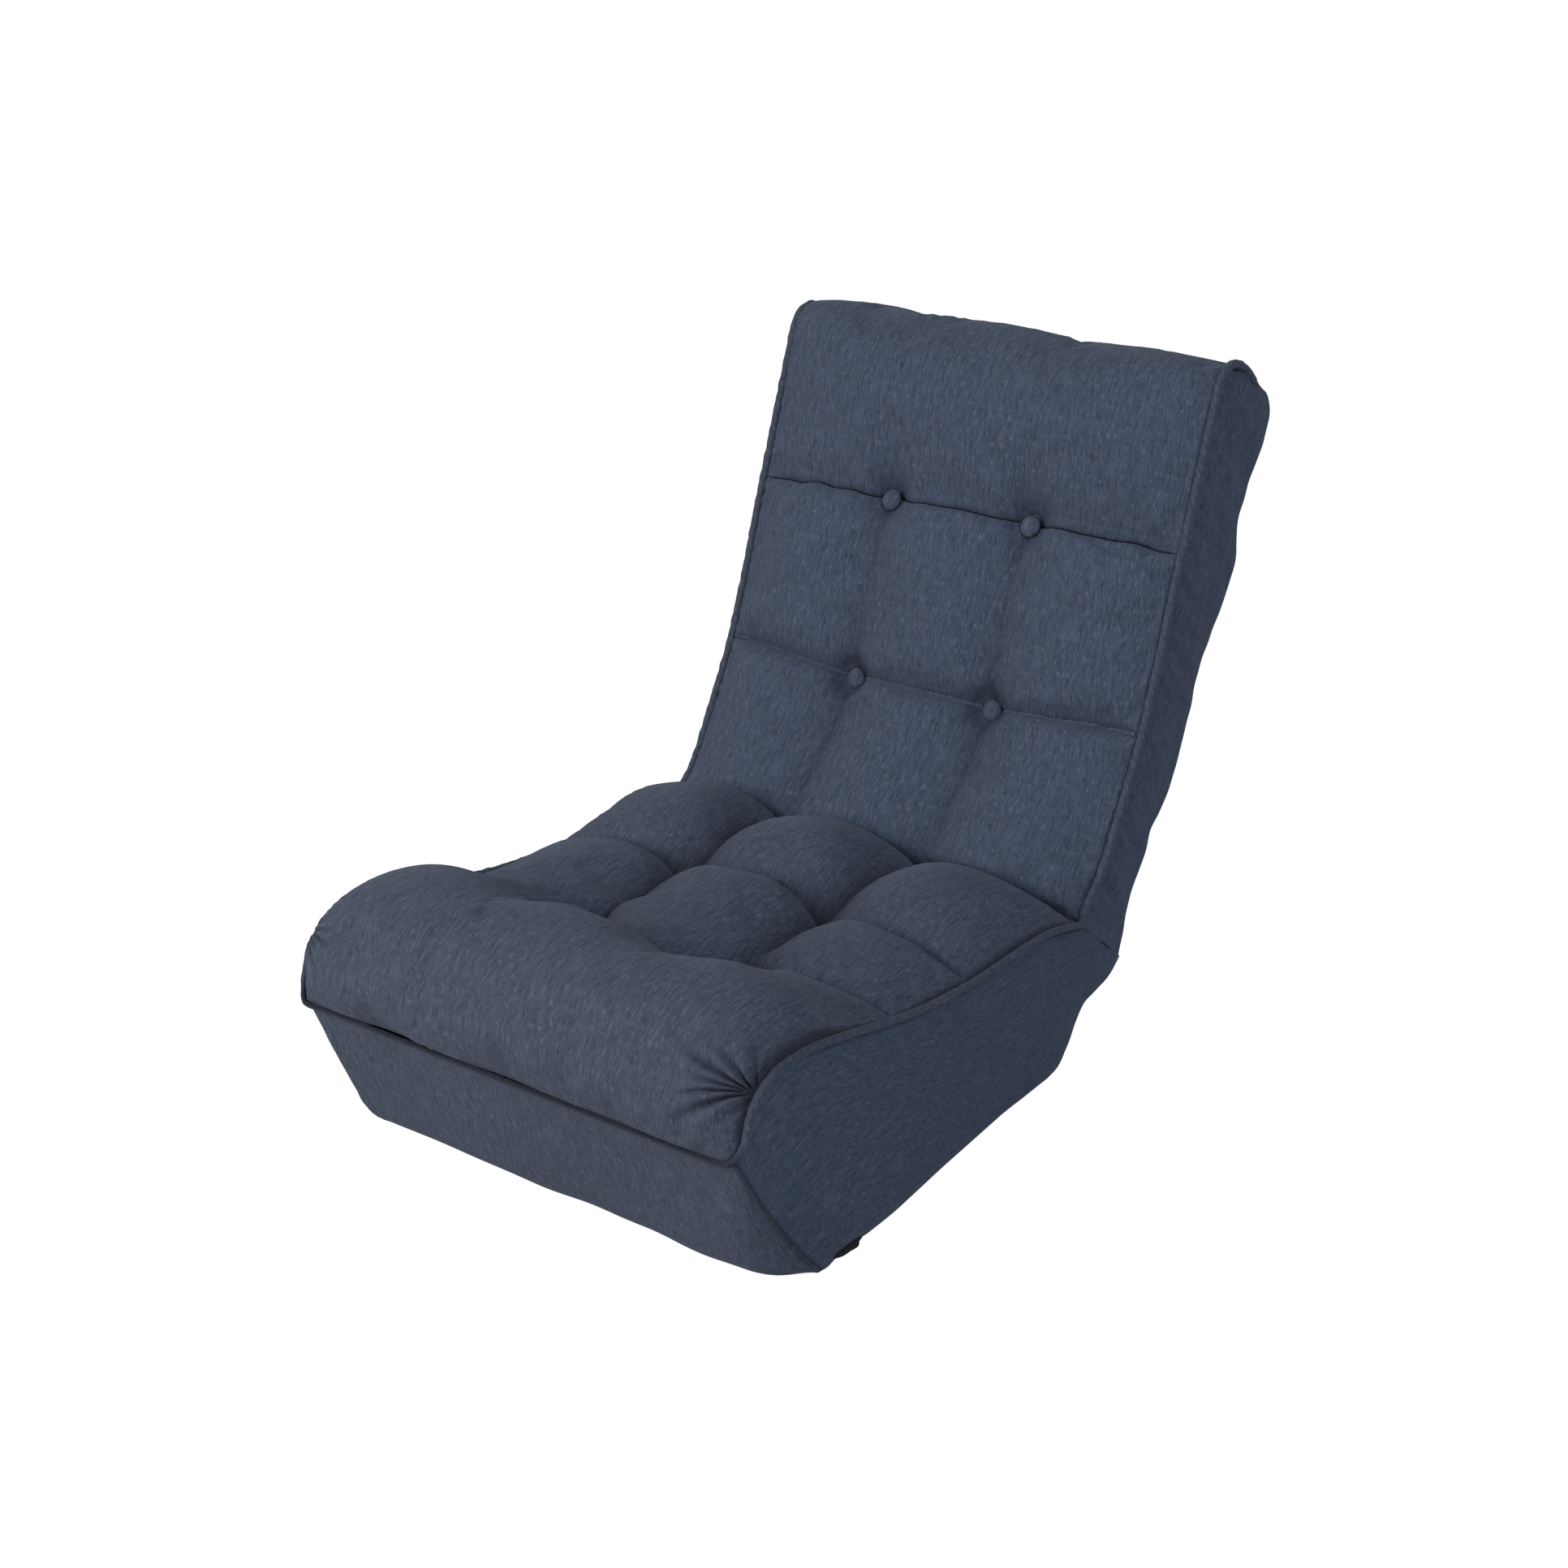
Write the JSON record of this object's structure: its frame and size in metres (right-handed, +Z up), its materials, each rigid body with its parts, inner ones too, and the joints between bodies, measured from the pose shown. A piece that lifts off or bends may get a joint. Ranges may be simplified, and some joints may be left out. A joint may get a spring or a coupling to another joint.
{
  "type": "reclining floor chair",
  "caption": "Legless floor chair with a tufted seat and back, a head roll, and ratchet hinges that set the back and head.",
  "frame": {"origin": "centre of the base on the floor, below the seat", "axes": "+Z up, -Y the way the sitter faces, +X the sitter's left, the viewer's right from the front"},
  "size_m": [0.56, 1.0129, 0.7375],
  "materials": {
    "navy_linen": "heathered navy linen-look weave, matte",
    "navy_linen_shaded": "the same weave on the rear panels and gussets",
    "navy_piping": "bias-cut welt cord in the cover's cloth",
    "black_lining": "black non-woven bottom cloth",
    "grey_foam": "open-cell foam block",
    "black_enamelled_steel": "black enamelled steel tube and plate",
    "zinc_steel": "zinc-plated rivets and pins",
    "spring_steel": "blued spring leaf"
  },
  "bodies": {
    "seat": {"seat_bottom_cloth": "black_lining", "seat_lower_foam": "grey_foam", "seat_boxing": "navy_linen", "seat_cushion": "navy_linen", "seat_piping": "navy_piping", "seat_frame": "black_enamelled_steel", "seat_rod_front": "black_enamelled_steel", "seat_rod_rear": "black_enamelled_steel", "recline_housing_left": "black_enamelled_steel", "recline_rivet_left": "zinc_steel", "recline_pawl_pin_left": "zinc_steel", "recline_pawl_spring_left": "black_enamelled_steel", "recline_housing_right": "black_enamelled_steel", "recline_rivet_right": "zinc_steel", "recline_pawl_pin_right": "zinc_steel", "recline_pawl_spring_right": "black_enamelled_steel"},
    "back": {"back_cushion": "navy_linen", "back_foam": "grey_foam", "back_rear_panel": "navy_linen_shaded", "back_rod_lower": "black_enamelled_steel", "back_rod_upper": "black_enamelled_steel", "lumbar_fold": "navy_linen", "neck_fold": "navy_linen", "rear_gusset": "navy_linen_shaded", "nape_fold": "navy_linen_shaded", "back_boxing_left": "navy_linen", "back_piping_left": "navy_piping", "back_tube_left": "black_enamelled_steel", "recline_sector_left": "black_enamelled_steel", "head_housing_left": "black_enamelled_steel", "head_rivet_left": "zinc_steel", "head_pawl_pin_left": "zinc_steel", "head_pawl_spring_left": "black_enamelled_steel", "button_lower_left": "navy_linen", "button_upper_left": "navy_linen", "back_boxing_right": "navy_linen", "back_piping_right": "navy_piping", "back_tube_right": "black_enamelled_steel", "recline_sector_right": "black_enamelled_steel", "head_housing_right": "black_enamelled_steel", "head_rivet_right": "zinc_steel", "head_pawl_pin_right": "zinc_steel", "head_pawl_spring_right": "black_enamelled_steel", "button_lower_right": "navy_linen", "button_upper_right": "navy_linen"},
    "head": {"head_cushion": "navy_linen", "head_foam": "grey_foam", "head_rear_panel": "navy_linen_shaded", "head_frame": "black_enamelled_steel", "head_boxing_left": "navy_linen", "head_piping_left": "navy_piping", "head_sector_left": "black_enamelled_steel", "head_boxing_right": "navy_linen", "head_piping_right": "navy_piping", "head_sector_right": "black_enamelled_steel"},
    "recline_pawl_left": {"recline_pawl_left": "black_enamelled_steel"},
    "head_pawl_left": {"head_pawl_left": "black_enamelled_steel"},
    "recline_pawl_right": {"recline_pawl_right": "black_enamelled_steel"},
    "head_pawl_right": {"head_pawl_right": "black_enamelled_steel"}
  },
  "joints": [
    {"name": "back_recline", "type": "hinge", "parent": "seat", "child": "back", "pos_m": [0, 0.32, 0.112], "axis": [-1, 0, 0], "range_deg": [-30, 60], "deforming": ["lumbar_fold", "rear_gusset"]},
    {"name": "head_tilt", "type": "hinge", "parent": "back", "child": "head", "pos_m": [0, 0.53365, 0.52951], "axis": [-1, 0, 0], "range_deg": [-30, 15], "deforming": ["neck_fold", "nape_fold"]},
    {"name": "recline_pawl_lift_left", "type": "hinge", "parent": "seat", "child": "recline_pawl_left", "pos_m": [-0.228, 0.28919, 0.09763], "axis": [-1, 0, 0], "range_deg": [0, 9], "stiffness_Nm_per_rad": 0.05, "springref_deg": -11.46, "deforming": ["recline_pawl_spring_left"]},
    {"name": "recline_pawl_lift_right", "type": "hinge", "parent": "seat", "child": "recline_pawl_right", "pos_m": [0.228, 0.28919, 0.09763], "axis": [-1, 0, 0], "range_deg": [0, 9], "stiffness_Nm_per_rad": 0.05, "springref_deg": -11.46, "deforming": ["recline_pawl_spring_right"]},
    {"name": "head_pawl_lift_left", "type": "hinge", "parent": "back", "child": "head_pawl_left", "pos_m": [-0.228, 0.53241, 0.49553], "axis": [-1, 0, 0], "range_deg": [0, 9], "stiffness_Nm_per_rad": 0.05, "springref_deg": -11.46, "deforming": ["head_pawl_spring_left"]},
    {"name": "head_pawl_lift_right", "type": "hinge", "parent": "back", "child": "head_pawl_right", "pos_m": [0.228, 0.53241, 0.49553], "axis": [-1, 0, 0], "range_deg": [0, 9], "stiffness_Nm_per_rad": 0.05, "springref_deg": -11.46, "deforming": ["head_pawl_spring_right"]}
  ]
}
